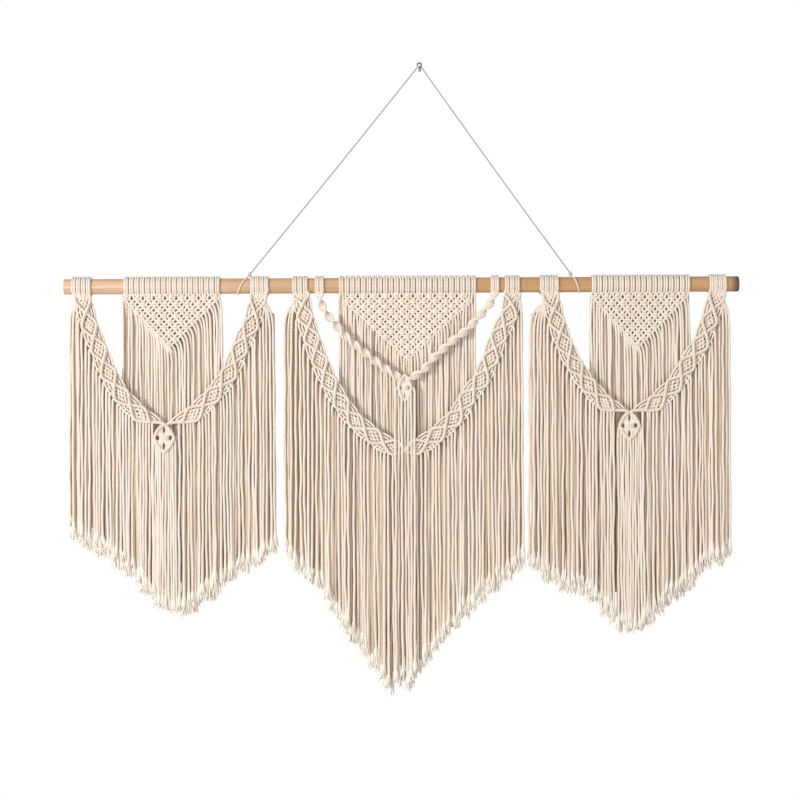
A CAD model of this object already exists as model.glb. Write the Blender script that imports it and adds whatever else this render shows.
"""Looks of the macrame wall hanging: every cord, knot and brushed end around the solid frame.

Tables hold millimetres, seen from the front: "along" runs from the rod's middle to the right,
"drop" runs down from the rod's axis, and "depth" runs from that axis towards the viewer. On a
band, "run" goes down its middle line and "out" goes to the side that its fringe leaves.
Of what chance adds, WANDER is the normal spread, along and in depth where it holds two, and
any other pair that a draw takes is the least and the greatest.
"""

import math
from collections import namedtuple

import bmesh
import bpy
import numpy as np
from mathutils import Matrix, Vector


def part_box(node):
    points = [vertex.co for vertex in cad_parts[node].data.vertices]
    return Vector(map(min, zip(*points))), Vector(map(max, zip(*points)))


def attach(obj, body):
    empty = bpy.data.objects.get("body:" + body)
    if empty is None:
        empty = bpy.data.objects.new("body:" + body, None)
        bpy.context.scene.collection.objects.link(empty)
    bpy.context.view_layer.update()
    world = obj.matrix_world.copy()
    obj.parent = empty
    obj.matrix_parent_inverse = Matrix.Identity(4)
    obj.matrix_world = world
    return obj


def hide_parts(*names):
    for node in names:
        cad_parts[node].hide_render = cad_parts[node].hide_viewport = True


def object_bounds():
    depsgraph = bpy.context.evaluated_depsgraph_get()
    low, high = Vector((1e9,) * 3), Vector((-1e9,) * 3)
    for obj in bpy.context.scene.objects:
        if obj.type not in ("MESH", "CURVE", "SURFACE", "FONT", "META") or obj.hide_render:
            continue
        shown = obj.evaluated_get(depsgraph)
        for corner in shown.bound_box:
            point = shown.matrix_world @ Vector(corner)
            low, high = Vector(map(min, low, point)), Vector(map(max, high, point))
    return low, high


bl_info = {
    "name": "Macrame Wall Hanging",
    "version": (1, 0, 0),
    "blender": (4, 5, 0),
    "location": "View3D > Sidebar > Macrame",
    "description": "Knots a wide cotton wall hanging on a wooden rod, around its solid frame",
    "category": "Add Mesh",
}

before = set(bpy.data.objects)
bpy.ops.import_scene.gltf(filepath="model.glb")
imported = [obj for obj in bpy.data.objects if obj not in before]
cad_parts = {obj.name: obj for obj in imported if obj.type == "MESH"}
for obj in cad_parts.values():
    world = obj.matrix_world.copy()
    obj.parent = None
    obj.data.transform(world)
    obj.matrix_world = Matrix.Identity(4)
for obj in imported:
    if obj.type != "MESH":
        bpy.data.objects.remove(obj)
FRAME_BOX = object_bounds()

MM = 0.001
ROD_LOW, ROD_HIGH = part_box("rod")
ROD_MIDDLE = (ROD_LOW + ROD_HIGH) / 2
ROD_RADIUS = (ROD_HIGH.z - ROD_LOW.z) / 2 / MM
ROD_HALF = (ROD_HIGH.x - ROD_LOW.x) / 2 / MM
ROD_SEGMENTS = 64
ROD_ROUNDING = 1.6

# Radii of the cotton cord, by where it goes.
FREE = 2.0
KNOTTED = 2.0
HEAD = 1.95
WOVEN = 1.75
BAR_CORD = 1.8
WEAVE_CORD = 2.05
WRAPPED = 1.5
INNER = 2.4
FIBRE = 1.1

# Sides of a cord's tube, by where it goes.
SIDES = 7
BAR_SIDES = 6
INNER_SIDES = 5
FIBRE_SIDES = 4
WIRE_SIDES = 20
SHADE_SEED = 3

# Lark's heads. Degrees go round the rod: 0 is below it, 90 in front, 180 on top.
LEG_RADIUS = ROD_RADIUS + FREE + 0.2
LEG_START, LEG_END = 318, 40
LEG_POINTS = 8
NET_LEAN, BAND_LEAN = -8, 8
HEAD_LEG = 0.215  # from the middle of a head to each leg, in its width
HEAD_TUCK = np.array((0.0, 1.2, -1.0))
HEAD_BOW = np.array((0.4, 2.2, -0.6))

# Square knots. Columns: across in cord pitches, down in rows, depth in cord radii. Here are a
# knot's left outer cord and left filler, each mirrored for the right, and the bar before them,
# which comes once more upside down.
OUTER = np.array([(-1.275, -0.2, 0.3), (-1.165, 0.0, 0.5), (-1.275, 0.2, 0.3)])
FILLER = np.array([(-0.42, -0.66, 0.3), (-0.26, -0.42, 0.2), (-0.24, 0.0, -0.3),
                   (-0.26, 0.42, 0.2), (-0.42, 0.66, 0.3)])
BAR = np.array([(-0.95, 0.12, -0.9), (-0.78, 0.17, 0.2), (-0.42, 0.2, 1.15), (0.0, 0.2, 1.35),
                (0.42, 0.2, 1.15), (0.78, 0.17, 0.2), (0.95, 0.12, -0.9)])
MIRROR = np.array((-1.0, 1.0, 1.0))
FLIP = np.array((1.0, -1.0, 1.0))
KNOT_ROLES = (OUTER, FILLER, FILLER * MIRROR, OUTER * MIRROR)
NECKS = (-1.7, -0.5, 0.5, 1.7)  # where a first knot's cords come in, in cord pitches
NECK_RISE = 1.0
KNOT_WANDER = 0.2

# Nets.
NET_DEPTH = -0.5
NET_FORWARD = 9.0  # how much further forward the work is at the rod
NET_SETTLE = 14.0
NET_HANG_SETTLE = 7.0
NET_HIDDEN = 0.3  # share of the strands that lie behind the others
NET_BACK, NET_FAR_BACK = 0.5, 4.0
NET_WANDER = 0.5, 0.7  # spread of the strands' places along and in depth
NET_HEM_RISE = 4, 34
INSIDE_PITCH = 3.9
INSIDE_MARGINS = 2.0, -1.0
INSIDE_DEPTH = -6.0
INSIDE_RISE = 45
INSIDE_POINTS = 16
INSIDE_SPREAD = 20.0
INSIDE_WAVE = 0.3, 27.0, 6  # height, length and latest phase
SPARE_DROP = 2.0

Net = namedtuple("Net", "node left right heads knots lead top_drop apex_drop spread widen drift")
NETS = (
    Net("left_net", -452, -295, 18, 9, 0, 15.4, 100.0, 1.06, 1.038, (1.2, -3.6)),
    Net("centre_net", -102, 122, 25, 12, 1, 13.8, 121.0, 1.0, 1.0, (0.0, 0.0)),
    Net("right_net", 309, 470, 18, 9, 0, 16.2, 102.8, 1.02, 1.0, (-1.8, -4.2)),
)

# Bands: two bars that outline the diamonds, cords woven between them, and loops at the edge.
BAND_DEPTH = 9.6
BAND_TOP = 3.0
LINE_SPACING = 2.0
EARLY_END = 2  # quarters by which a bar ends early above a tip
CORNER = 12.0
BAR_HEIGHT = 3.0
BAR_RISE = 1.2
BAR_ROUND = 0.92
BAR_STEPS = 6
BAR_DIP, BAR_DIP_RUN = 5, 0.3
BAR_SPACING = 3.0
BAR_PITCH = 2.3
BAR_TURN = 5
BAR_RADIUS = 1.6
WEAVE_DEPTH = BAND_DEPTH - 1.8
WEAVE_RISE = 1.7
WEAVE_CROWN = 1.2
WEAVE_SHARES = (0.25, 0.5, 0.75)
WEAVE_WANDER = 0.025
WEAVE_STATIONS = np.linspace(0.06, 0.94, 13)
WEAVE_WAVES = 4
LOOPS = ((0.15, 3.6), (0.46, 2.6), (0.76, 1.6))  # where they start, and how far they bow
LOOP_STATIONS = np.linspace(0.0, 1.0, 11)
LOOP_ROUND = 0.7
LOOP_BACK, LOOP_RISE = 2.0, 2.4
HEAD_RUN = 9, 12
HEAD_FAN = 7.0
HEAD_BACK = 1.5
BACKING_CORDS = 6
BACKING_POINTS = 50
BACKING_START = 4.0
BACKING_REACH = 1.6
BACKING_MARGIN = 2
BACKING_DEPTH = BAND_DEPTH - 7.0
BACKING_RADIUS = INNER + 0.6

# Fringes. A strand leaves its bar at a root, goes sideways by an arch, and falls.
FRINGE_DEPTH = 8.2
EDGE_POINTS = 200
GROUP_WIDTH = 0.9
ARCH = 3.6
ARCH_FADE = 20.0
LEAST_ARCH = 0.1
ROOT = np.array([(-1.5, -7.5, BAND_DEPTH - 4.5), (0.0, -0.5, BAND_DEPTH + 0.8)])
FALL = np.array([(0.75, 1.0, FRINGE_DEPTH + 2.2), (1.0, 4.5, FRINGE_DEPTH + 1.2)])
FIRST_RUN, NEXT_RUN = 13.0, 4.0  # the least run of the first root, and more for each after it
FRINGE_WANDER = 0.5, 0.8
FRINGE_HIDDEN = 0.25
FRINGE_FAR_BACK = 2.5
FRINGE_RISE = 22
HEM_JITTER = -6, 6
FLARE_FADE = 2
LAYERS = (FRINGE_DEPTH - 4.4, FRINGE_DEPTH - 8.4)
LAYER_PITCH = 4.2
LAYER_START, LAYER_SHIFT, LAYER_MARGIN = 3.5, 1.5, 1.0
LAYER_TOP_RUN = 23.0
LAYER_SLOPE = 0.5
LAYER_DROP = 2.0
LAYER_RISE = 8, 20
LAYER_STEP = 6
LAYER_WANDER = 0.3
LAYER_TIP, LAYER_TAPER = 0.5, (0.65, 0.85, 0.95)
INNER_SPACING = 24.0

Band = namedtuple("Band", "node outer inner heads quarters phase tip fringe middle")
Fringe = namedtuple("Fringe", "count outer inner flare")
BANDS = (
    Band("left_band_outer", -537, -505, 4, 25, 1, "left_tip", Fringe(26, -541, -405, 0),
         ((-520, 12), (-508, 62), (-493, 101), (-478, 139), (-456, 177), (-428, 206),
          (-393.6, 233.9))),
    Band("left_band_inner", -216, -246, 4, 25, 1, "left_tip", Fringe(27, -207.5, -361, 0),
         ((-231, 12), (-242, 56), (-260, 95), (-279, 139), (-303, 173), (-337, 206),
          (-374.4, 233.9))),
    Band("centre_band_left", -178, -152, 3, 34, 2, None, Fringe(28, -191, -15, -3),
         ((-164, 12), (-157, 50), (-147, 84), (-133, 123), (-118, 157), (-102, 185),
          (-80, 216), (-54, 239), (-29, 257), (4.8, 270.0))),
    Band("centre_band_right", 193, 168, 3, 34, 2, None, Fringe(28, 197, 24, 0),
         ((181, 12), (175, 49), (158, 83), (145, 119), (130, 153), (108, 181),
          (92, 209), (64, 237), (38, 256), (5.2, 270.0))),
    Band("right_band_inner", 225, 256, 4, 25, 1, "right_tip", Fringe(24, 209, 346.5, -2),
         ((241, 12), (251, 55), (263, 93), (279, 127), (301, 161), (327, 190),
          (360.4, 216.9))),
    Band("right_band_outer", 529, 501, 4, 25, 1, "right_tip", Fringe(26, 534.5, 393, 0),
         ((515, 12), (504, 49), (489, 92), (468, 125), (447, 159), (416, 190),
          (379.6, 216.9))),
)

# Diamonds by themselves: four bars round one large knot, with strands from the lower sides.
Diamond = namedtuple("Diamond", "node along drop half_width half_height depth strands pitch hang")
DIAMONDS = (
    Diamond("left_tip", -387, 247, 16.2, 22.5, BAND_DEPTH, 10, 4.0, FRINGE_DEPTH),
    Diamond("right_tip", 370, 230, 16.2, 22.5, BAND_DEPTH, 10, 4.0, FRINGE_DEPTH),
    Diamond("centre_pendant", 5, 167, 10.5, 21, 11.0, 7, 5.2, 15.0),
)
DIAMOND_BAR_RISE = 1.8
DIAMOND_BULGE = 2.2
DIAMOND_START = 0.9, -1.0, 0.5  # share of the way across, then drop and depth
DIAMOND_FAN = 4.0
DIAMOND_LEAST = 0.95
DIAMOND_RISE = 18
DIAMOND_JITTER = -8, 6
DIAMOND_WANDER = 0.7
DIAMOND_SETTLE = 4.0
DIAMOND_INNER_BACK, DIAMOND_INNER_HANG = 4.0, 5.0
DIAMOND_INNER_RISE = 25, 40
# Where a cord leaves the bar, its bow on the way, and its place in the knot, in half widths.
KNOT_CORDS = ((0.1, 0.24, 0.08), (0.3, 0.45, 0.2), (0.54, 0.56, 0.3), (0.78, 0.62, 0.36))
KNOT_CORD_DEPTHS = (-0.8, 0.6, 0.2)
KNOT_CORD_RADIUS = WOVEN + 0.1
KNOT_REACH, KNOT_CLOSE = 0.24, 0.2  # in half heights
# The large knot's three bars: share of their drop, across in half widths, depth.
KNOT_WRAPS = np.linspace(-0.15, 0.15, 3)
KNOT_WRAP = np.array([(0.7, -0.42, -1.2), (1.0, -0.34, 1.0), (1.0, -0.15, 2.3),
                      (1.0, 0.15, 2.3), (1.0, 0.34, 1.0), (0.7, 0.42, -1.2)])

# Ropes of half knots.
Twist = namedtuple("Twist", "node left right middle")
TWISTS = (
    Twist("centre_twist_left", -141, -126,
          ((-133, 12.4), (-130.5, 29), (-121, 48), (-105, 67), (-89, 85), (-72, 100),
           (-56, 112.5), (-26, 136.5), (-3, 151))),
    Twist("centre_twist_right", 145, 159,
          ((152, 12.4), (147, 26), (134, 43), (108, 71), (83, 91), (52, 118), (35, 138.5),
           (10.8, 153.3))),
)
TWIST_DEPTH = 11.6
TWIST_PITCH = 4.0
TWIST_STEPS = 10
TWIST_TURN = 42.0
TWIST_WIDE, TWIST_THIN = 4.3, 1.6
TWIST_CORE = 1.8
TWIST_EDGE = 4.9
TWIST_EDGE_RADIUS, TWIST_EDGE_BEAD = 2.3, 0.3
TWIST_HEAD = 0.25, 6.0

# Strands that hang free.
FIRST_STEPS = np.array((1.5, 3.5, 6.5))
STRAND_SPACING = 11.0
STRAND_SETTLE = 12.0
SWAY = 0.25, 0.85
LONG_WAVE, SHORT_WAVE, DEPTH_WAVE = (22, 40), (9, 15), (25, 45)
UNEVEN, UNEVEN_WAVE = 0.05, 7.0
END_SWELL = 1.12
CLUMP = 2.0
CLUMP_WAVES = 4.3, 1.3, 37.0

# Their brushed ends: a soft core and a spray of yarns.
BRUSH_YARNS = 9
BRUSH_REACH = 16, 27
BRUSH_WANDER = 1.8
CORE_STATIONS = np.array((0.0, 0.12, 0.35, 0.6, 0.8))
CORE_SWELL = np.array((1.0, 1.15, 1.25, 1.1, 0.5))
YARN_STATIONS = np.linspace(0.0, 1.0, 5)
YARN_SWELL = np.array((1.0, 1.1, 1.1, 1.0, 0.55))
YARN_TURN = -0.3, 0.3
YARN_SPREAD = 0.4, 1.0
YARN_LENGTH = 0.75, 1.2
YARN_START, YARN_OUT, YARN_ROUND = 0.5, 1.5, 0.8

# Along and drop of each motif's hem.
HEMS = (
    ((-547, 395), (-505, 420), (-459, 449), (-422, 481), (-397, 517), (-368, 531), (-335, 514),
     (-294, 478), (-265, 464), (-223, 434), (-198, 421)),
    ((-190, 424), (-159, 465), (-128, 495), (-102, 545), (-74, 576), (-43, 617), (-24, 651),
     (14, 642), (43, 598), (74, 560), (104, 530), (134, 498), (175, 469), (198, 448)),
    ((206, 451), (236, 474), (265, 490), (306, 498), (322, 518), (353, 550), (387, 560),
     (418, 525), (459, 489), (503, 446), (536, 436), (547, 429)),
)
HEM_MARGIN = 6

Tie = namedtuple("Tie", "node along slant knot_drop")
TIES = (
    Tie("tie_left", -247, -20, -19),
    Tie("tie_right", 276, 14, -18),
)
TIE_CLEARANCE = 0.2
TIE_STATIONS = np.linspace(0.35, 2 * np.pi - 0.35, 40)
TIE_DRAW = 0.5
TIE_KNOT = (-0.4, -3.0), (0.0, 3.5)
TIE_KNOT_WRAP = 1.9, 2.1, 10  # radius, pitch, points a turn

# The hanging cord's route, as in the solid: knot, taut run, bend over the hook's wire.
HANGING_CORD_DIAMETER = 2.2
HOOK_REST = Vector((0.0, -8.0, 1.1))
HOOK_BEND = 4.6
BEND_POINTS = 4
RUN_POINTS = 14
RUN_SAG = 1.5
KNOT_RADIUS = 2.8
CLEARANCE = 0.3

HOOK_PLATE = (4.4, 1.6, 14.0)
PLATE_CORNER, PLATE_RIM = 1.5, 0.3
HOOK_WIRE_DIAMETER = 2.4
HOOK_WIRE = (  # right, forward and up from the back of the plate
    (1.9, 2.8, -5.9), (1.6, 2.8, -4.6), (1.2, 3.3, -2.9), (0.7, 5.0, -1.8), (0.4, 7.0, -1.6),
    (0.2, 11.5, -1.6), (1.6, 14.2, -0.8), (3.3, 14.8, 2.2),
    (2.6, 14.8, 5.0), (0.0, 14.8, 6.0), (-2.8, 14.8, 4.6), (-3.6, 14.8, 1.6),
)
SHARP = math.radians(40)

# Looks of laid cord: the panel's colours and the deep one's dimming, plies, pitch and relief
# in metres, and how dark the grooves are.
Lay = namedtuple("Lay", "pale deep dimming plies pitch relief groove")
LAYS = {
    "natural cotton cord": Lay("cotton_pale", "cotton_deep", 1.0, 3.0, 0.016, 0.0003, 0.15),
    "cotton cord inside": Lay("cotton_inner", "cotton_inner", 0.8, 3.0, 0.016, 0.0006, 0.35),
    "grey string": Lay("string_pale", "string_deep", 1.0, 2.0, 0.007, 0.0005, 0.8),
    "pale string": Lay("brush_pale", "cotton_pale", 1.0, 2.0, 0.007, 0.0005, 0.4),
}
GROOVE_WIDTH = 0.55
GROOVE_TINT = (0.62, 0.52, 0.42)
# Ranges of what a pattern reads, and what each becomes. Places along the rod are in metres.
WOOD_WARMTH = -0.35, 0.25, 0.0, 0.75
WOOD_DIM = ROD_LOW.x + 0.22, ROD_LOW.x + 0.28, 0.0, 0.3
WOOD_TIP = ROD_HIGH.x - 0.016, ROD_HIGH.x - 0.004
WOOD_PATCHES = 0.35, 0.65, 0.0, 0.45
WOOD_LINES = 0.45, 0.68, 0.0, 0.6
WOOD_ROUGH = 0.3, 0.7, 0.5, 0.7
STEEL_ROUGH = 0.3, 0.7, 0.3, 0.5
GRAIN_STRETCH, PATCH_STRETCH = (4.0, 260.0, 260.0), (9.0, 90.0, 90.0)
WOOD_END = (0.14, 0.075, 0.035)
STEEL_DARK, STEEL_PALE = (0.10, 0.098, 0.095), (0.26, 0.25, 0.245)
PAINT_DARK, PAINT_PALE = (0.88, 0.88, 0.88), (0.92, 0.92, 0.92)

PHOTO_SIDE = 800
PHOTO_SCALE = 1.631  # millimetres to a pixel of the photo at the hanging
HOOK_PIXEL = (420.8, 66.5)  # where the photo shows the frame's origin
CAMERA_DISTANCE = 3.6
CAMERA_ROLL = math.radians(0.25)
SENSOR = 36.0
AMBIENT = 0.61
SKY_LOW, SKY_HIGH, WHITE = (1.0, 0.99, 0.98), (0.72, 0.78, 0.88), (1.0, 1.0, 1.0)
SKY_BAND = 0.1, 0.9
LIGHTS = (  # place from the hanging's middle and size in metres, share of the key's strength
    ("key", (-3.6, -3.6, 0.5), 1.0, 1.0),
    ("fill", (2.4, -4.0, 0.2), 2.4, 0.14),
)
FLOOR_DROP = 0.6
FLOOR_RADIUS = 1.6
FLOOR_SEGMENTS = 96


# Lines of cord, as rows of (along, drop, depth).

def rows(points):
    return np.array(points, dtype=float).reshape(-1, 3)


def through(points, per=3):
    """A smooth line through the points, with so many steps from each to the next."""
    p = np.asarray(points, dtype=float)
    p = np.vstack([2 * p[0] - p[1], p, 2 * p[-1] - p[-2]])
    a, b, c, d = (p[k:len(p) - 3 + k, None, :] for k in range(4))
    t = (np.arange(per) / per)[None, :, None]
    fine = 0.5 * (2 * b + (c - a) * t + (2 * a - 5 * b + 4 * c - d) * t ** 2
                  + (3 * b - a - 3 * c + d) * t ** 3)
    return np.vstack([fine.reshape(-1, p.shape[1]), p[-2:-1]])


def lengths(line):
    steps = np.linalg.norm(np.diff(line, axis=0), axis=1)
    return np.concatenate([[0.0], np.cumsum(steps)])


def even(line, spacing):
    """The same line with points at even distances."""
    run = lengths(line)
    at = np.linspace(0.0, run[-1], max(2, round(run[-1] / spacing) + 1))
    return np.column_stack([np.interp(at, run, line[:, k]) for k in range(line.shape[1])])


def directions(line):
    ahead = np.gradient(line, axis=0)
    return ahead / np.linalg.norm(ahead, axis=1)[:, None]


def wrap(line, radius, pitch, per_turn):
    """A cord wound round the line."""
    core = even(line, pitch / per_turn)
    ahead = directions(core)
    out = np.cross(ahead, (0.0, 0.0, 1.0))
    out /= np.linalg.norm(out, axis=1)[:, None] + 1e-9
    up = np.cross(out, ahead)
    angle = (2 * np.pi * np.arange(len(core)) / per_turn)[:, None]
    return core + radius * (np.cos(angle) * out + np.sin(angle) * up)


def hem_drop(along):
    for hem in HEMS:
        if hem[0][0] - HEM_MARGIN <= along <= hem[-1][0] + HEM_MARGIN:
            return float(np.interp(along, *zip(*hem)))
    raise ValueError(f"no fringe at {along}")


class Skein(list):
    """Cords: lines with their thickness."""

    def add(self, line, radius):
        line = np.asarray(line, dtype=float)
        self.append((line, np.broadcast_to(np.asarray(radius, dtype=float), len(line))))

    def join(self, head, radius, strand):
        """A cord in one piece from its knotted head and the strand that hangs from it."""
        line, thick = strand
        head = rows(head)
        self.add(np.vstack([head, line]),
                 np.concatenate([np.broadcast_to(radius, len(head)), thick]))


class Work:
    """The cords of one node: those in front, those inside, and the brushed ends."""

    def __init__(self, seed):
        self.skein, self.inner, self.brush = Skein(), Skein(), Skein()
        self.rng = np.random.default_rng(seed)


# Node tools.

class Wiring:
    """Adds and links nodes in one tree."""

    def __init__(self, tree):
        self.tree = tree

    def feed(self, node, inputs):
        for key, value in inputs.items():
            if isinstance(value, bpy.types.NodeSocket):
                self.tree.links.new(value, node.inputs[key])
            else:
                node.inputs[key].default_value = value

    def node(self, kind, inputs=None, **settings):
        node = self.tree.nodes.new(kind)
        for name, value in settings.items():
            setattr(node, name, value)
        self.feed(node, inputs or {})
        return node

    def value(self, kind, inputs=None, **settings):
        return self.node(kind, inputs, **settings).outputs[0]

    def attribute(self, name):
        return self.node("ShaderNodeAttribute", attribute_name=name).outputs

    def parts(self, vector):
        return self.node("ShaderNodeSeparateXYZ", {0: vector}).outputs

    def math(self, operation, a, b=0.0, clamp=False):
        return self.value("ShaderNodeMath", {0: a, 1: b}, operation=operation, use_clamp=clamp)

    def times(self, a, b):
        return self.math("MULTIPLY", a, b)

    def mix(self, factor, a, b):
        a, b = (c if isinstance(c, bpy.types.NodeSocket) else (*c, 1.0) for c in (a, b))
        return self.node("ShaderNodeMix", {0: factor, 6: a, 7: b}, data_type="RGBA").outputs[2]

    def ramp(self, value, low, high, to_low=0.0, to_high=1.0):
        return self.value("ShaderNodeMapRange",
                          {0: value, 1: low, 2: high, 3: to_low, 4: to_high})


def new_group(name, kind, sockets):
    """A node group with its sockets, each by name, way and type."""
    group = bpy.data.node_groups.new(name, kind)
    for label, way, form in sockets:
        group.interface.new_socket(label, in_out=way, socket_type="NodeSocket" + form)
    return group, Wiring(group)


def tube_group():
    """Geometry nodes that put a round tube on each curve, with its lay for the material."""
    group = bpy.data.node_groups.get("Cord Tube")
    if group:
        return group
    group, wiring = new_group("Cord Tube", "GeometryNodeTree",
                              (("Geometry", "INPUT", "Geometry"), ("Sides", "INPUT", "Int"),
                               ("Geometry", "OUTPUT", "Geometry")))

    def keep(name, geometry, value, kind="FLOAT", domain="POINT"):
        return wiring.value("GeometryNodeStoreNamedAttribute",
                            {"Geometry": geometry, "Name": name, "Value": value},
                            data_type=kind, domain=domain)

    start = wiring.node("NodeGroupInput")
    number = wiring.value("GeometryNodeInputIndex")
    shade = wiring.node("FunctionNodeRandomValue", {"ID": number, "Seed": SHADE_SEED},
                        data_type="FLOAT")
    along = wiring.node("GeometryNodeSplineParameter").outputs["Length"]
    circle = wiring.value("GeometryNodeCurvePrimitiveCircle",
                          {"Resolution": start.outputs["Sides"], "Radius": 1.0})
    line = keep("shade", start.outputs["Geometry"], shade.outputs[1], domain="CURVE")
    line = keep("run", line, along)
    circle = keep("around", circle, wiring.value("GeometryNodeInputPosition"), "FLOAT_VECTOR")
    tube = wiring.value("GeometryNodeCurveToMesh",
                        {"Curve": line, "Profile Curve": circle, "Fill Caps": True,
                         "Scale": wiring.value("GeometryNodeInputRadius")})
    wiring.node("NodeGroupOutput", {0: tube})
    return group


def new_object(name, data):
    obj = bpy.data.objects.new(name, data)
    bpy.context.collection.objects.link(obj)
    return obj


def finish_piece(obj, slot, look, *nodes):
    obj.data.materials.clear()
    obj.data.materials.append(material(look))
    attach(obj, "root")
    if nodes:
        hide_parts(*nodes)


def finish_solid(name, bm):
    mesh = bpy.data.meshes.new(name)
    bm.to_mesh(mesh)
    bm.free()
    mesh.shade_smooth()
    mesh.set_sharp_from_angle(angle=SHARP)
    return new_object(name, mesh)


def bevel(bm, edges, offset, segments):
    bmesh.ops.bevel(bm, geom=edges, offset=offset * MM, affect="EDGES", segments=segments,
                    profile=0.5, material=-1)


def new_curve(name, lines):
    """A curve object of straight steps, from lines of places and radii in metres."""
    curve = bpy.data.curves.new(name, "CURVE")
    curve.dimensions = "3D"
    for places, radii in lines:
        spline = curve.splines.new("POLY")
        spline.points.add(len(places) - 1)
        spline.points.foreach_set("co", np.column_stack([places, np.ones(len(places))]).ravel())
        spline.points.foreach_set("radius", radii)
    return new_object(name, curve)


def spin_cords(name, skein, sides, slot, look, *nodes):
    """One piece of all the skein's cords."""
    middle = np.array(ROD_MIDDLE)
    guide = new_curve(name + "_guide", [
        (middle + line[:, (0, 2, 1)] * (MM, -MM, -MM), radius * MM) for line, radius in skein])
    modifier = guide.modifiers.new("tube", "NODES")
    modifier.node_group = tube_group()
    modifier["Socket_1"] = sides
    graph = bpy.context.evaluated_depsgraph_get()
    mesh = bpy.data.meshes.new_from_object(guide.evaluated_get(graph))
    mesh.name = name
    bpy.data.objects.remove(guide)
    mesh.shade_smooth()
    finish_piece(new_object(name, mesh), slot, look, *nodes)


def finish_cords(node, part, work, sides=SIDES):
    """Turns the cords of one node into its pieces: the cords, those inside, and the ends."""
    name = f"{node}_{part}"
    spin_cords(name, work.skein, sides, "cotton", "natural cotton cord", node)
    if work.inner:
        spin_cords(name + "_inside", work.inner, INNER_SIDES, "cotton", "cotton cord inside")
    if work.brush:
        spin_cords(name + "_ends", work.brush, FIBRE_SIDES, "cotton", "brushed cotton ends")


# Materials.

class Surface(Wiring):
    """The nodes of one new material, whose patterns follow the place on the piece."""

    def __init__(self, name):
        self.material = bpy.data.materials.new(name)
        self.material.use_nodes = True
        super().__init__(self.material.node_tree)
        self.place = self.node("ShaderNodeTexCoord").outputs["Object"]

    def noise(self, scale, detail, roughness=0.5, stretch=None):
        place = self.place
        if stretch:
            place = self.value("ShaderNodeMapping", {"Vector": place, "Scale": stretch})
        return self.value("ShaderNodeTexNoise", {"Vector": place, "Scale": scale,
                                                 "Detail": detail, "Roughness": roughness})

    def bump(self, height, strength, distance):
        return self.value("ShaderNodeBump", {"Height": height, "Strength": strength,
                                             "Distance": distance})

    def shade(self, inputs):
        self.feed(self.tree.nodes["Principled BSDF"], inputs)
        return self.material


def colours(*names):
    """The panel's colours of those names."""
    return [tuple(getattr(bpy.context.scene.macrame, name)) for name in names]


def lay_group():
    """Shader nodes for the plies of a laid cord: the ridge's height and the groove's mask."""
    group = bpy.data.node_groups.get("Cord Lay")
    if group:
        return group
    group, wiring = new_group("Cord Lay", "ShaderNodeTree",
                              (("Plies", "INPUT", "Float"), ("Pitch", "INPUT", "Float"),
                               ("Height", "OUTPUT", "Float"), ("Groove", "OUTPUT", "Float")))
    given = wiring.node("NodeGroupInput").outputs
    split = wiring.parts(wiring.attribute("around")["Vector"])
    angle = wiring.math("ARCTAN2", split["Y"], split["X"])
    turns = wiring.math("DIVIDE", wiring.attribute("run")["Fac"], given["Pitch"])
    phase = wiring.math("ADD", wiring.times(angle, 0.5), wiring.times(turns, math.pi))
    ridge = wiring.math("ABSOLUTE", wiring.math("SINE", wiring.times(phase, given["Plies"])))
    groove = wiring.ramp(ridge, 0.0, GROOVE_WIDTH, 1.0, 0.0)
    wiring.node("NodeGroupOutput", {"Height": ridge, "Groove": groove})
    return group


def laid_cord(name):
    """Laid cotton: plies in relief, darker grooves, and a shade of its own for each cord."""
    surface = Surface(name)
    look = LAYS[name]
    pale, deep = colours(look.pale, look.deep)
    deep = [value * look.dimming for value in deep]
    dark = [value * tint for value, tint in zip(deep, GROOVE_TINT)]
    lay = surface.node("ShaderNodeGroup", {"Plies": look.plies, "Pitch": look.pitch},
                       node_tree=lay_group()).outputs
    shade = surface.times(surface.attribute("shade")["Fac"], 0.6)
    stain = surface.times(surface.noise(scale=22.0, detail=3.0), 0.5)
    fluff = surface.times(surface.noise(scale=900.0, detail=4.0), 0.5)
    colour = surface.mix(surface.math("ADD", shade, stain, clamp=True), pale, deep)
    height = surface.math("ADD", lay["Height"], fluff)
    return surface.shade({
        "Base Color": surface.mix(surface.times(lay["Groove"], look.groove), colour, dark),
        "Normal": surface.bump(height, strength=0.7, distance=look.relief),
        "Roughness": 0.92, "Specular IOR Level": 0.2, "Sheen Weight": 0.35,
        "Sheen Roughness": 0.5})


def brushed_cotton(name):
    surface = Surface(name)
    tone = surface.times(surface.attribute("shade")["Fac"],
                         surface.noise(scale=400.0, detail=3.0))
    return surface.shade({
        "Base Color": surface.mix(tone, *colours("brush_pale", "cotton_pale")),
        "Roughness": 1.0, "Specular IOR Level": 0.1, "Sheen Weight": 0.2})


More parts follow.
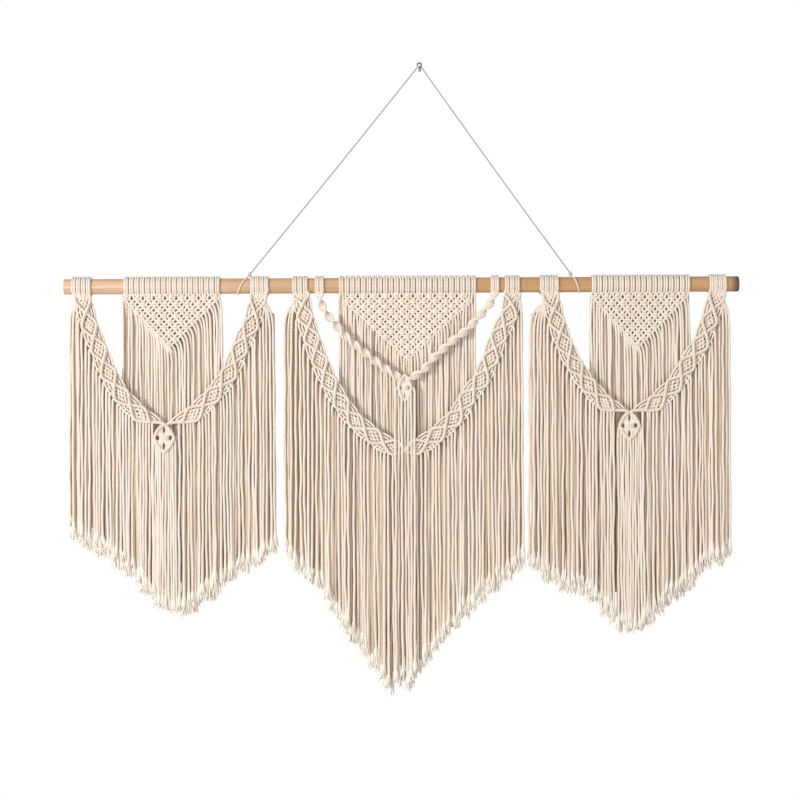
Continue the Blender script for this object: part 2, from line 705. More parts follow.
def wood(name):
    """Pine: long grain lines, patches of warmer tone, browner to the right, a dark end."""
    surface = Surface(name)
    pale, warm, deep = colours("wood_pale", "wood_warm", "wood_grain")
    rightward = surface.parts(surface.place)["X"]
    grain = surface.noise(scale=1.0, detail=6.0, roughness=0.65, stretch=GRAIN_STRETCH)
    patch = surface.noise(scale=1.0, detail=2.0, stretch=PATCH_STRETCH)
    tone = surface.math("ADD", surface.ramp(patch, *WOOD_PATCHES),
                        surface.ramp(rightward, *WOOD_WARMTH), clamp=True)
    colour = surface.mix(tone, pale, warm)
    colour = surface.mix(surface.ramp(grain, *WOOD_LINES), colour, deep)
    colour = surface.mix(surface.ramp(rightward, *WOOD_DIM), colour, deep)
    return surface.shade({
        "Base Color": surface.mix(surface.ramp(rightward, *WOOD_TIP), colour, WOOD_END),
        "Roughness": surface.ramp(grain, *WOOD_ROUGH),
        "Normal": surface.bump(grain, strength=0.25, distance=0.0004)})


def steel(name):
    surface = Surface(name)
    wear = surface.noise(scale=600.0, detail=3.0)
    return surface.shade({"Base Color": surface.mix(wear, STEEL_DARK, STEEL_PALE),
                          "Roughness": surface.ramp(wear, *STEEL_ROUGH), "Metallic": 0.8})


def paint(name):
    surface = Surface(name)
    cloud = surface.noise(scale=8.0, detail=3.0)
    return surface.shade({"Base Color": surface.mix(cloud, PAINT_DARK, PAINT_PALE),
                          "Roughness": 0.8})


BUILDERS = {"brushed cotton ends": brushed_cotton, "pine dowel": wood, "dark wire": steel,
            "pale paint": paint, **dict.fromkeys(LAYS, laid_cord)}


def material(name):
    """The material of that name, built when it is first asked for."""
    return bpy.data.materials.get(name) or BUILDERS[name](name)


# Square knots and loops on the rod.

def leg(along, lean=0):
    """A leg of a lark's head: up behind the rod, over it and down its front."""
    angles = np.radians(np.linspace(LEG_START, LEG_END + lean, LEG_POINTS))
    turn = np.column_stack([np.full(LEG_POINTS, along), LEG_RADIUS * np.cos(angles),
                            LEG_RADIUS * np.sin(angles)])
    turn[0] += HEAD_TUCK
    return turn


def head_legs(left, right, heads):
    """Where the two legs of each head lie along the rod."""
    pitch = (right - left) / heads
    places = []
    for number in range(heads):
        middle = left + pitch * (number + 0.5)
        places += [middle - HEAD_LEG * pitch, middle + HEAD_LEG * pitch]
    return places


def head_bars(skein, places):
    """The loop's bar behind the rod, from one leg of each head to the other."""
    for left, right in zip(places[::2], places[1::2]):
        start, end = leg(left)[0], leg(right)[0]
        skein.add(through([start, start + HEAD_BOW, end + HEAD_BOW * MIRROR, end]), HEAD)


# Strands that hang free, and their brushed ends.

def clump(along, share):
    """How far a strand leans to its neighbours near the hem."""
    near, bend, far = CLUMP_WAVES
    return CLUMP * math.sin(along / near + bend * math.sin(along / far)) * share ** 2


def hang(brush, start, along, depth, bottom, rng, spacing=STRAND_SPACING, radius=FREE,
         settle_in=STRAND_SETTLE, flare=0.0):
    """A strand from the end of its knot down to the hem, and its brushed end."""
    drop = start[1]
    count = max(4, round((bottom - drop) / spacing))
    share = np.concatenate([FIRST_STEPS / (bottom - drop), np.linspace(0.0, 1.0, count + 1)[1:]])
    down = drop + (bottom - drop) * share
    settle = 1 - np.exp(-(down - drop) / settle_in)
    phase = rng.uniform(0, 2 * np.pi, 4)
    sway, fore_sway = rng.uniform(*SWAY, 2)
    wave = (sway * np.sin(down / rng.uniform(*LONG_WAVE) + phase[0])
            + 0.5 * sway * np.sin(down / rng.uniform(*SHORT_WAVE) + phase[1]))
    across = start[0] + (along - start[0]) * settle + (wave + clump(along, share)) * settle
    across += flare * np.sqrt(share)
    fore = start[2] + (depth - start[2]) * settle
    fore = fore + fore_sway * np.sin(down / rng.uniform(*DEPTH_WAVE) + phase[2]) * settle
    line = np.column_stack([across, down, fore])
    thick = radius * (1 + UNEVEN * np.sin(down / UNEVEN_WAVE + phase[3]))
    thick[-1] *= END_SWELL
    if brush is not None:
        brush_out(brush, line[-1], line[-1] - line[-2], radius, rng)
    return line, thick


def brush_out(brush, end, ahead, radius, rng):
    """The end of a strand, unlaid and brushed."""
    ahead = ahead / np.linalg.norm(ahead)
    reach = rng.uniform(*BRUSH_REACH)
    lean = rng.normal(0, BRUSH_WANDER, 3) * (1, 0, 0.6)
    core = end + np.outer(CORE_STATIONS, ahead * reach) + np.outer(CORE_STATIONS ** 2, lean)
    brush.add(core, radius * CORE_SWELL)
    at = YARN_STATIONS
    for number in range(BRUSH_YARNS):
        angle = 2 * np.pi * (number + rng.uniform(*YARN_TURN)) / BRUSH_YARNS
        spread = rng.uniform(*YARN_SPREAD)
        side = np.array((math.cos(angle), 0.0, math.sin(angle)))
        swell = radius * (YARN_START + YARN_OUT * spread * at ** YARN_ROUND)
        curl = rng.normal(0, 1.0, 3) * (1, 0, 1)
        length = reach * rng.uniform(*YARN_LENGTH)
        fibre = (end + np.outer(at * length, ahead) + np.outer(swell, side)
                 + np.outer(at ** 2, lean) + np.outer(at ** 3, curl))
        brush.add(fibre, FIBRE * YARN_SWELL)


# Nets.

def net_depth(drop):
    """The work leaves the front of the rod and settles below its middle."""
    return NET_DEPTH + NET_FORWARD * np.exp(-(np.asarray(drop) - ROD_RADIUS) / NET_SETTLE)


def knot_rows(net, pitch, cords, work):
    """Adds the knots' bars, and finds where each of the legs' cords goes through its knots."""
    courses = [[] for _ in range(cords)]
    spare = (cords - 4 * net.knots) // 2
    height = (net.apex_drop - net.top_drop) / (net.knots + net.lead)
    for row in range(-net.lead, net.knots):
        inset = spare + 2 * abs(row)
        for first in range(inset, cords - inset, 4):
            across = net.left + pitch * (first + 2) + work.rng.normal(0, KNOT_WANDER)
            across = net.right + (across - net.right) * net.widen
            across += net.drift[0] + (net.drift[1] - net.drift[0]) * (row + net.lead) / net.knots
            down = (net.top_drop + height * (row + net.lead + 0.5)
                    + work.rng.normal(0, KNOT_WANDER))
            for role, cord in enumerate(KNOT_ROLES):
                course = courses[first + role]
                if row == -net.lead:
                    course.append(rows([(across + NECKS[role] * pitch,
                                         net.top_drop - NECK_RISE, 0.0)]))
                course.append(cord * (pitch, height, KNOTTED) + (across, down, 0.0))
            for turn in (1.0, FLIP):
                bar = BAR * turn * (pitch, height, KNOTTED) + (across, down, 0.0)
                bar[:, 2] += net_depth(bar[:, 1])
                work.skein.add(through(bar, 2), BAR_CORD)
    return courses


def knot_net(net, work):
    """Alternating square knots, one knot fewer in each row, and the strands below them."""
    rng = work.rng
    places = head_legs(net.left, net.right, net.heads)
    head_bars(work.skein, places)
    middle = (net.left + net.right) / 2
    pitch = (net.right - net.left) / len(places)
    courses = knot_rows(net, pitch, len(places), work)
    for number, (along, course) in enumerate(zip(places, courses)):
        natural = net.left + pitch * (number + 0.5)
        course = np.vstack(course or [rows([(natural, net.top_drop + SPARE_DROP, 0.0)])])
        course[:, 2] += net_depth(course[:, 1])
        knotted = through(np.vstack([leg(along, NET_LEAN), course]), 2)
        back = NET_FAR_BACK if rng.random() < NET_HIDDEN else NET_BACK
        goal = middle + (natural - middle) * net.spread + rng.normal(0, NET_WANDER[0])
        depth = NET_DEPTH - back + rng.normal(0, NET_WANDER[1])
        bottom = hem_drop(natural) - rng.uniform(*NET_HEM_RISE)
        radius = np.where(np.arange(len(knotted)) < 2 * (LEG_POINTS - 1), HEAD, KNOTTED)
        work.skein.join(knotted, radius, hang(work.brush, knotted[-1], goal, depth, bottom,
                                              rng, settle_in=NET_HANG_SETTLE))
    hang_inside(net, middle, work)


def hang_inside(net, middle, work):
    """The cords that show dark through the holes and between the strands."""
    first, past = INSIDE_MARGINS
    height, length, phase = INSIDE_WAVE
    for along in np.arange(net.left + first, net.right + past, INSIDE_PITCH):
        drops = np.linspace(ROD_RADIUS + SPARE_DROP, hem_drop(along) - INSIDE_RISE, INSIDE_POINTS)
        spread = 1 + (net.spread - 1) * (1 - np.exp(-(drops - ROD_RADIUS) / INSIDE_SPREAD))
        across = middle + (along - middle) * spread + work.rng.normal(0, KNOT_WANDER)
        across += height * np.sin(drops / length + work.rng.uniform(0, phase))
        work.inner.add(np.column_stack([across, drops, net_depth(drops) + INSIDE_DEPTH]), INNER)


# Bands of diamonds.

class BandLine:
    """Places on a band: run down its middle line and out to its fringe's side, in millimetres."""

    def __init__(self, band):
        self.line = even(through(band.middle, 16), LINE_SPACING)
        self.run = lengths(self.line)
        ahead = directions(self.line)
        self.side = -1 if band.outer < band.inner else 1
        self.out = self.side * np.column_stack([ahead[:, 1], -ahead[:, 0]])
        self.quarter = self.run[-1] / band.quarters
        self.reach = 2 * self.quarter
        self.phase = band.phase
        corners = range((2 - band.phase) % 4, band.quarters + 1, 4)
        self.corners = [corner * self.quarter for corner in corners]
        self.last_corner = max(c for c in corners if c <= band.quarters - EARLY_END)
        self.last = self.last_corner * self.quarter
        self.ends = {-1: band.quarters, 1: band.quarters - (EARLY_END if band.tip else 0)}

    def spots(self, points):
        """Turns rows of (run, out, depth) into rows of (along, drop, depth)."""
        points = rows(points)
        at = np.clip(points[:, 0], 0.0, self.run[-1])
        over = points[:, 0] - at
        found = []
        for k in range(2):
            ahead = np.interp(at, self.run, np.gradient(self.line[:, k], self.run))
            found.append(np.interp(at, self.run, self.line[:, k]) + over * ahead
                         + points[:, 1] * np.interp(at, self.run, self.out[:, k]))
        return np.column_stack([*found, points[:, 2]])

    def edge_out(self, run):
        """Where the fringe leaves: along the corners, then down the last bar."""
        past = np.maximum(np.asarray(run) / self.quarter - self.last_corner, 0.0)
        return CORNER * (1 - past / 2)


def bar_line(band, sign):
    """One of the two bars that cross from side to side and outline the diamonds."""
    end = band.ends[sign]
    steps = np.linspace(0, end, end * BAR_STEPS + 1)
    turn = (steps + band.phase) * np.pi / 4
    zigzag = np.arcsin(BAR_ROUND * np.sin(turn)) / math.asin(BAR_ROUND)
    zigzag[steps < 1] = 1.0
    depth = (BAND_DEPTH + BAR_HEIGHT + sign * BAR_RISE * np.cos(turn)
             - BAR_DIP * np.exp(-steps / BAR_DIP_RUN))
    return band.spots(np.column_stack([steps * band.quarter, sign * CORNER * zigzag, depth]))


def add_bar(skein, line):
    skein.add(even(line, BAR_SPACING), BAR_RADIUS)
    skein.add(wrap(line, BAR_RADIUS, BAR_PITCH, BAR_TURN), WRAPPED)


def weave_diamond(band, run, work):
    """Cords from each upper bar to the lower bar across, over and under each other."""
    t = WEAVE_STATIONS
    for side in (-1, 1):
        for number, share in enumerate(WEAVE_SHARES + work.rng.normal(0, WEAVE_WANDER, 3)):
            across = side * CORNER * (share - t)
            down = run + band.reach * (share + t - 1.0)
            turn = math.pi * (t * WEAVE_WAVES + number)
            depth = (WEAVE_DEPTH + side * WEAVE_RISE * np.cos(turn)
                     + WEAVE_CROWN * np.sin(math.pi * t))
            line = np.column_stack([down, across, depth])[down > BAND_TOP]
            if len(line) > 2:
                work.skein.add(band.spots(through(line, 2)), WEAVE_CORD)


def add_loops(skein, band, start, end, side):
    """Cords that leave one bar at a band's edge, bow out, and join the next."""
    arch = np.sin(np.pi * LOOP_STATIONS) ** LOOP_ROUND
    for share, bow in LOOPS:
        first, last = start + share * band.reach, end - share * band.reach
        out = side * (CORNER * (1 - share) + bow * arch)
        points = np.column_stack([first + (last - first) * LOOP_STATIONS, out,
                                  BAND_DEPTH - LOOP_BACK + LOOP_RISE * arch])
        skein.add(band.spots(points), WOVEN)


def knot_band(band, work):
    """Heads, the two bars, the woven diamonds, the edge's loops, and the cords behind them."""
    line = BandLine(band)
    skein = work.skein
    places = head_legs(min(band.outer, band.inner), max(band.outer, band.inner), band.heads)
    head_bars(skein, places)
    middle = (band.outer + band.inner) / 2
    for along in places:
        away = (along - middle) / abs(band.outer - band.inner) * 2
        end = line.spots([(work.rng.uniform(*HEAD_RUN), line.side * away * HEAD_FAN,
                           BAND_DEPTH - HEAD_BACK)])
        skein.add(through(np.vstack([leg(along, BAND_LEAN), end])), HEAD)
    for sign in (-1, 1):
        add_bar(skein, bar_line(line, sign))
    last = line.last + 1.0
    for run in line.corners:
        if run < last:
            weave_diamond(line, run, work)
    for start, end in zip(line.corners, line.corners[1:] + [line.run[-1] + line.reach]):
        for side in (-1, 1):
            if start <= (last if side < 0 else last - line.reach):
                add_loops(skein, line, start, end, side)
    steps = np.linspace(BACKING_START, last + BACKING_REACH * line.reach, BACKING_POINTS)
    wide = np.minimum(line.edge_out(steps), CORNER) + CORNER - 2 * BACKING_MARGIN
    for share in np.linspace(0.0, 1.0, BACKING_CORDS):
        points = np.column_stack([steps, -CORNER + BACKING_MARGIN + wide * share,
                                  np.full(BACKING_POINTS, BACKING_DEPTH)])
        work.inner.add(line.spots(points), BACKING_RADIUS)


def hang_fringe(band, work):
    """Strands that leave the band's outer side, in one group from each corner to the next."""
    rng = work.rng
    fringe = band.fringe
    line = BandLine(band)
    edge_run = np.linspace(0.0, line.run[-1], EDGE_POINTS)
    edge = line.spots(np.column_stack([edge_run, line.edge_out(edge_run), 0 * edge_run]))
    order = np.argsort(edge[:, 0])

    def at_edge(along, values):
        return float(np.interp(along, edge[order, 0], values[order]))

    corners = [float(np.interp(run, edge_run, edge[:, 0])) for run in line.corners]
    ends = np.sort([fringe.outer, fringe.inner, *corners[1:]])
    for number in range(fringe.count):
        along = fringe.outer + (fringe.inner - fringe.outer) * number / (fringe.count - 1)
        group = int(np.clip(np.searchsorted(ends, along), 1, len(ends) - 1))
        middle = (ends[group - 1] + ends[group]) / 2
        along = middle + GROUP_WIDTH * (along - middle) + rng.normal(0, FRINGE_WANDER[0])
        to_last = (line.last - at_edge(along, edge_run)) / ARCH_FADE
        arch = ARCH * float(np.clip(to_last, LEAST_ARCH, 1.0))
        run = max(at_edge(along - line.side * arch, edge_run), FIRST_RUN + NEXT_RUN * number)
        root = line.spots(ROOT + (run, float(line.edge_out(run)), 0.0))
        edge_along, top = root[-1, :2]
        away = line.side * min(line.side * (along - edge_along), arch)
        root = np.vstack([root, FALL * (away, 1.0, 1.0) + (edge_along, top, 0.0)])
        bottom = hem_drop(along) + rng.uniform(*HEM_JITTER) - FRINGE_RISE
        depth = FRINGE_DEPTH + rng.normal(0, FRINGE_WANDER[1])
        depth -= FRINGE_FAR_BACK if rng.random() < FRINGE_HIDDEN else 0.0
        flare = fringe.flare * math.exp(-number / FLARE_FADE)
        work.skein.join(through(root, 4), KNOTTED, hang(work.brush, root[-1], along, depth,
                                                        bottom, rng, flare=flare))
    top = edge[np.searchsorted(edge_run, LAYER_TOP_RUN), 1]
    for layer, depth in enumerate(LAYERS):
        low, high = sorted((fringe.outer, fringe.inner))
        low += LAYER_START + LAYER_SHIFT * layer
        for along in np.arange(low, high - LAYER_MARGIN, LAYER_PITCH):
            outside = max(line.side * (along - edge[0, 0]), 0.0)
            drop = max(at_edge(along, edge[:, 1]), top + LAYER_SLOPE * outside) + LAYER_DROP
            start = np.array((along, drop, depth))
            bottom = hem_drop(along) - rng.uniform(*LAYER_RISE) - LAYER_STEP * layer
            strand = hang(None if layer else work.brush, start,
                          along + rng.normal(0, LAYER_WANDER), depth, bottom, rng,
                          spacing=INNER_SPACING, radius=INNER)
            strand[1][:3] *= LAYER_TAPER
            work.inner.join(start, LAYER_TIP, strand)


# Diamonds by themselves.

def knot_diamond(diamond, work):
    """A diamond by itself: four bars, one large knot, and the strands from its lower sides."""
    rng = work.rng
    width, height = diamond.half_width, diamond.half_height
    shift = diamond.depth - BAND_DEPTH

    def to_place(points):
        return points[:, (1, 0, 2)] + (diamond.along, diamond.drop, shift)

    level = BAND_DEPTH + DIAMOND_BAR_RISE
    corners = rows([(-height, 0, level), (0, width, level), (height, 0, level),
                    (0, -width, level)])
    for a, b in zip(corners, np.roll(corners, -1, axis=0)):
        bulge = np.array((1.0, 1.0, 0.0)) * (a + b) / height
        middle = (a + b) / 2 + DIAMOND_BULGE * bulge
        add_bar(work.skein, to_place(through([a, middle, b], 6)))
    knot_large(work.skein, to_place, width, height)
    inward, rise, forward = DIAMOND_START
    for number in range(diamond.strands):
        across = (number - (diamond.strands - 1) / 2) * diamond.pitch
        along = diamond.along + across
        share = min(abs(across) / (width + DIAMOND_FAN), DIAMOND_LEAST)
        start = np.array((diamond.along + across * inward,
                          diamond.drop + (1 - share) * height + rise, diamond.depth + forward))
        bottom = hem_drop(along) + rng.uniform(*DIAMOND_JITTER) - DIAMOND_RISE
        depth = diamond.hang + rng.normal(0, DIAMOND_WANDER)
        work.skein.join(start, KNOTTED, hang(work.brush, start, along, depth, bottom, rng,
                                             settle_in=DIAMOND_SETTLE))
    for number in range(diamond.strands - 1):
        along = diamond.along + (number - (diamond.strands - 2) / 2) * diamond.pitch
        start = np.array((along, diamond.drop, diamond.depth - DIAMOND_INNER_BACK))
        bottom = hem_drop(along) - rng.uniform(*DIAMOND_INNER_RISE)
        work.inner.add(*hang(None, start, along, diamond.hang - DIAMOND_INNER_HANG, bottom,
                             rng, spacing=INNER_SPACING, radius=INNER))


def knot_large(skein, to_place, width, height):
    """Cords from the upper bars, held by one big square knot, and on to the lower bars."""
    for side in (-1, 1):
        for share, waist, close in KNOT_CORDS:
            far = height * (1 - share)
            downs = (-far, -(far + KNOT_REACH * height) / 2, -KNOT_CLOSE * height)
            outs = [side * width * out for out in (share, waist, close)]
            upper = np.column_stack([downs, outs, KNOT_CORD_DEPTHS])
            line = np.vstack([upper, upper[::-1] * MIRROR]) + (0.0, 0.0, BAND_DEPTH)
            skein.add(to_place(through(line, 4)), KNOT_CORD_RADIUS)
    for down in KNOT_WRAPS * height:
        line = KNOT_WRAP * (down, width, 1.0) + (0.0, 0.0, BAND_DEPTH)
        skein.add(to_place(through(line, 4)), WOVEN)


# Ropes.

def knot_rope(twist, work):
    """A rope of half knots: cord wound flat across a core, turning as it goes down."""
    skein = work.skein
    places = head_legs(twist.left, twist.right, 2)
    head_bars(skein, places)
    middle = np.array([(*point, TWIST_DEPTH) for point in twist.middle], dtype=float)
    inward, fall = TWIST_HEAD
    for along in places:
        end = middle[0] + (inward * (along - middle[0][0]), fall, 0.0)
        skein.add(through(np.vstack([leg(along, BAND_LEAN), end])), HEAD)
    line = even(through(middle, 12), TWIST_PITCH / TWIST_STEPS)
    run = lengths(line)
    ahead = directions(line)
    out = np.cross(ahead, (0.0, 0.0, 1.0))
    up = np.cross(out, ahead)
    lean = (2 * np.pi * run / TWIST_TURN)[:, None]
    flat = np.cos(lean) * out + np.sin(lean) * up
    thin = np.cos(lean) * up - np.sin(lean) * out
    for side in (-1, 1):
        skein.add((line + side * TWIST_CORE * flat)[::8], KNOTTED)
    angle = 2 * np.pi * run / TWIST_PITCH
    skein.add(line + TWIST_WIDE * np.cos(angle)[:, None] * flat
              + TWIST_THIN * np.sin(angle)[:, None] * thin, WOVEN)
    bead = TWIST_EDGE_RADIUS + TWIST_EDGE_BEAD * np.sin(angle / 2)
    for side in (-1, 1):
        skein.add((line + side * TWIST_EDGE * flat)[::5], bead[::5])


# Operators.

def colour_setting(name, description, default):
    return bpy.props.FloatVectorProperty(name=name, description=description, default=default,
                                         subtype="COLOR", min=0.0, max=1.0)


class MacrameSettings(bpy.types.PropertyGroup):
    """Colours and light that a user would change."""

    cotton_pale: colour_setting("Cotton, pale", "Palest shade of the natural cotton cord",
                                (0.93, 0.84, 0.74))
    cotton_deep: colour_setting("Cotton, deep", "Deepest shade of the natural cotton cord",
                                (0.85, 0.725, 0.59))
    cotton_inner: colour_setting("Cotton, inside", "Shade of the cords that lie inside the work",
                                 (0.80, 0.64, 0.49))
    brush_pale: colour_setting("Brushed ends", "Colour of the brushed cotton ends",
                               (0.94, 0.855, 0.745))
    string_pale: colour_setting("String, pale", "Palest shade of the hanging string",
                                (0.83, 0.86, 0.88))
    string_deep: colour_setting("String, deep", "Deepest shade of the hanging string",
                                (0.58, 0.61, 0.62))
    wood_pale: colour_setting("Wood, pale", "Palest tone of the pine rod", (0.77, 0.54, 0.37))
    wood_warm: colour_setting("Wood, warm", "Warmest tone of the pine rod", (0.66, 0.37, 0.17))
    wood_grain: colour_setting("Wood grain", "Tone of the rod's grain lines", (0.46, 0.25, 0.11))
    light_strength: bpy.props.FloatProperty(
        name="Key light", description="Strength of the key light", default=168.0, min=0.0,
        unit="POWER")


def hanging_route():
    """From knot to knot: two taut runs that sag a little, and a bend over the hook's wire."""
    bend_centre = HOOK_REST - Vector((0.0, 0.0, HOOK_BEND))
    halves = []
    for side, tie in zip((-1, 1), TIES):
        knot = ROD_MIDDLE / MM + Vector((tie.along, 0.0, -tie.knot_drop))
        slope = math.atan2(bend_centre.z - knot.z, abs(knot.x - bend_centre.x))
        half = []
        for number in range(1, BEND_POINTS + 1):
            angle = slope * number / BEND_POINTS
            half.append(bend_centre + Vector((side * math.sin(angle), 0.0, math.cos(angle)))
                        * HOOK_BEND)
        start = half[-1]
        knot += (start - knot).normalized() * (KNOT_RADIUS + 2 * CLEARANCE)
        for number in range(1, RUN_POINTS + 1):
            share = number / RUN_POINTS
            sag = Vector((0.0, 0.0, -RUN_SAG * math.sin(math.pi * share)))
            half.append(start.lerp(knot, share) + sag)
        halves.append(half)
    left, right = halves
    return [point * MM for point in left[::-1] + [HOOK_REST] + right]


class MACRAME_OT_hanging_cord(bpy.types.Operator):
    """Lay the hanging cord over the hook and down to its two knots"""
    bl_idname = "macrame.hanging_cord"
    bl_label = "Hanging Cord"

    def execute(self, context):
        route = hanging_route()
        cord = new_curve("hanging_string", [(np.array(route), np.ones(len(route)))])
        cord.data.bevel_depth = HANGING_CORD_DIAMETER / 2 * MM
        cord.data.bevel_resolution = 3
        cord.data.use_fill_caps = True
        finish_piece(cord, "string", "grey string", "hanging_cord")
        return {"FINISHED"}


class MACRAME_OT_rod(bpy.types.Operator):
    """Turn the wooden rod"""
    bl_idname = "macrame.rod"
    bl_label = "Wooden Rod"

    def execute(self, context):
        bm = bmesh.new()
        radius = ROD_RADIUS * MM
        bmesh.ops.create_cone(bm, cap_ends=True, segments=ROD_SEGMENTS, radius1=radius,
                              radius2=radius, depth=2 * ROD_HALF * MM)
        rims = [e for e in bm.edges if e.verts[0].co.z * e.verts[1].co.z > 0]
        bevel(bm, rims, ROD_ROUNDING, 4)
        bmesh.ops.rotate(bm, verts=bm.verts, cent=(0, 0, 0),
                         matrix=Matrix.Rotation(math.pi / 2, 3, "Y"))
        bmesh.ops.translate(bm, verts=bm.verts, vec=ROD_MIDDLE)
        finish_piece(finish_solid("pine_rod", bm), "pine", "pine dowel", "rod")
        return {"FINISHED"}


class MACRAME_OT_hook(bpy.types.Operator):
    """Bend the wall hook's wire out of its plate"""
    bl_idname = "macrame.hook"
    bl_label = "Wall Hook"

    def execute(self, context):
        wire = Skein()
        bends = rows([(bend[0] - ROD_MIDDLE.x / MM, ROD_MIDDLE.z / MM - bend[2],
                       bend[1] + ROD_MIDDLE.y / MM) for bend in HOOK_WIRE])
        wire.add(through(bends, 6), HOOK_WIRE_DIAMETER / 2)
        spin_cords("hook_bent_wire", wire, WIRE_SIDES, "steel", "dark wire", "wall_hook")
        bm = bmesh.new()
        middle = -HOOK_PLATE[1] / 2 * MM
        bmesh.ops.create_cube(bm, size=1.0)
        bmesh.ops.scale(bm, vec=Vector(HOOK_PLATE) * MM, verts=bm.verts)
        bmesh.ops.translate(bm, verts=bm.verts, vec=(0.0, middle, 0.0))
        upright = [e for e in bm.edges if abs(e.verts[0].co.y - e.verts[1].co.y) > 1e-6]
        bevel(bm, upright, PLATE_CORNER, 6)
        rims = [e for e in bm.edges if all(v.co.y < middle for v in e.verts)
                and e.calc_face_angle(0.0) > 1.0]
        bevel(bm, rims, PLATE_RIM, 2)
        finish_piece(finish_solid("hook_backplate", bm), "steel", "pale paint", "wall_hook")
        return {"FINISHED"}


class MACRAME_OT_ties(bpy.types.Operator):
    """Loop the two ties round the rod and draw them up to a small knot"""
    bl_idname = "macrame.ties"
    bl_label = "Ties"

    def execute(self, context):
        radius = HANGING_CORD_DIAMETER / 2
        reach = ROD_RADIUS + radius + TIE_CLEARANCE
        angles = TIE_STATIONS
        from_top = np.minimum(angles, 2 * np.pi - angles)
        for tie in TIES:
            spread = reach + (-tie.knot_drop - reach) * np.exp(-(from_top / TIE_DRAW) ** 2)
            along = tie.along + tie.slant * np.sin(angles / 2)
            loop = Skein()
            loop.add(np.column_stack([along, -spread * np.cos(angles),
                                      spread * np.sin(angles)]), radius)
            core = rows([(tie.along + across, tie.knot_drop + down, 0.0)
                         for across, down in TIE_KNOT])
            knot = Skein()
            knot.add(even(core, 1.0), radius)
            knot.add(wrap(core, *TIE_KNOT_WRAP), radius)
            spin_cords(tie.node + "_loop", loop, SIDES, "string", "pale string", tie.node)
            spin_cords(tie.node + "_knot", knot, SIDES, "string", "grey string", tie.node)
        return {"FINISHED"}


def make_each(table, part, make, seed, sides=SIDES):
    """The pieces of each node in the table, each from its own seed."""
    for number, item in enumerate(table):
        work = Work(seed + number)
        make(item, work)
        finish_cords(item.node, part, work, sides)
    return {"FINISHED"}


class MACRAME_OT_nets(bpy.types.Operator):
    """Knot the three nets of square knots and hang their strands"""
    bl_idname = "macrame.nets"
    bl_label = "Nets"

    def execute(self, context):
        return make_each(NETS, "knots", knot_net, 40)


class MACRAME_OT_bands(bpy.types.Operator):
    """Knot the six bands of diamonds"""
    bl_idname = "macrame.bands"
    bl_label = "Bands"

    def execute(self, context):
        return make_each(BANDS, "bars", knot_band, 60, BAR_SIDES)


class MACRAME_OT_fringes(bpy.types.Operator):
    """Hang the fringe of each band"""
    bl_idname = "macrame.fringes"
    bl_label = "Fringes"

    def execute(self, context):
        return make_each(BANDS, "fringe", hang_fringe, 80)


class MACRAME_OT_diamonds(bpy.types.Operator):
    """Knot the two tips and the pendant"""
    bl_idname = "macrame.diamonds"
    bl_label = "Tips and Pendant"

    def execute(self, context):
        return make_each(DIAMONDS, "diamond", knot_diamond, 100)


class MACRAME_OT_twists(bpy.types.Operator):
    """Knot the two ropes of half knots"""
    bl_idname = "macrame.twists"
    bl_label = "Twisted Ropes"

    def execute(self, context):
        return make_each(TWISTS, "rope", knot_rope, 120)


def light_world():
    """A pale studio all round, white where the camera sees it."""
    world = bpy.data.worlds.new("studio")
    world.use_nodes = True
    wiring = Wiring(world.node_tree)
    seen = wiring.node("ShaderNodeLightPath").outputs["Is Camera Ray"]
    height = wiring.parts(wiring.node("ShaderNodeTexCoord").outputs["Generated"])["Z"]
    tint = wiring.mix(wiring.ramp(height, *SKY_BAND), SKY_LOW, SKY_HIGH)
    wiring.feed(world.node_tree.nodes["Background"], {
        "Color": wiring.mix(seen, tint, WHITE),
        "Strength": wiring.ramp(seen, 0.0, 1.0, AMBIENT, 1.0)})
    return world


def lay_floor(height):
    bm = bmesh.new()
    bmesh.ops.create_circle(bm, cap_ends=True, segments=FLOOR_SEGMENTS, radius=FLOOR_RADIUS)
    bmesh.ops.translate(bm, verts=bm.verts, vec=(0.0, 0.0, height))
    floor = finish_solid("floor", bm)
    floor.data.materials.append(material("pale paint"))


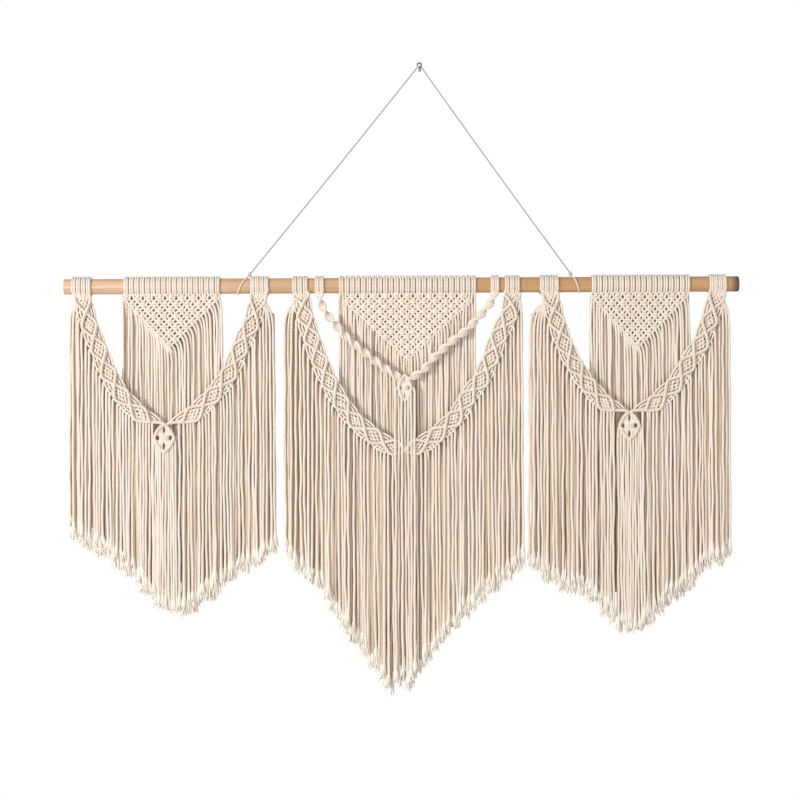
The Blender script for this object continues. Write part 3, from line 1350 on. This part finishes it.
def place_camera():
    """A long lens, square to the rod, that shows the photo's field."""
    camera = bpy.data.cameras.new("camera")
    camera.sensor_width = SENSOR
    camera.lens = SENSOR * CAMERA_DISTANCE / (PHOTO_SIDE * PHOTO_SCALE * MM)
    eye = new_object("camera", camera)
    eye.location = ((PHOTO_SIDE / 2 - HOOK_PIXEL[0]) * PHOTO_SCALE * MM,
                    ROD_MIDDLE.y - CAMERA_DISTANCE,
                    (HOOK_PIXEL[1] - PHOTO_SIDE / 2) * PHOTO_SCALE * MM)
    eye.rotation_euler = (math.pi / 2, CAMERA_ROLL, 0.0)
    return eye


class MACRAME_OT_stage(bpy.types.Operator):
    """Set the floor, the soft light and the camera"""
    bl_idname = "macrame.stage"
    bl_label = "Stage"

    def execute(self, context):
        scene = context.scene
        scene.view_settings.view_transform = "Standard"
        low, high = FRAME_BOX
        lay_floor(low.z - FLOOR_DROP)
        scene.world = light_world()
        middle = (low + high) / 2
        for name, place, size, share in LIGHTS:
            light = bpy.data.lights.new(name, "AREA")
            light.energy = scene.macrame.light_strength * share
            light.size = size
            lamp = new_object(name, light)
            lamp.location = middle + Vector(place)
            lamp.rotation_euler = (middle - lamp.location).to_track_quat("-Z", "Y").to_euler()
        scene.camera = place_camera()
        return {"FINISHED"}


OPERATORS = (MACRAME_OT_stage, MACRAME_OT_hanging_cord, MACRAME_OT_rod, MACRAME_OT_hook,
             MACRAME_OT_ties, MACRAME_OT_nets, MACRAME_OT_bands, MACRAME_OT_fringes,
             MACRAME_OT_diamonds, MACRAME_OT_twists)


class MACRAME_PT_panel(bpy.types.Panel):
    """Lists the pieces of the hanging"""
    bl_idname = "MACRAME_PT_panel"
    bl_label = "Macrame Wall Hanging"
    bl_space_type = "VIEW_3D"
    bl_region_type = "UI"
    bl_category = "Macrame"

    def draw(self, context):
        for name in MacrameSettings.__annotations__:
            self.layout.prop(context.scene.macrame, name)
        for operator in OPERATORS:
            self.layout.operator(operator.bl_idname)


CLASSES = (MacrameSettings, *OPERATORS, MACRAME_PT_panel)


def register():
    for cls in CLASSES:
        bpy.utils.register_class(cls)
    bpy.types.Scene.macrame = bpy.props.PointerProperty(type=MacrameSettings)


def unregister():
    del bpy.types.Scene.macrame
    for cls in reversed(CLASSES):
        bpy.utils.unregister_class(cls)


def main():
    register()
    for operator in OPERATORS:
        group, name = operator.bl_idname.split(".")
        getattr(getattr(bpy.ops, group), name)()


if __name__ == "__main__":
    main()
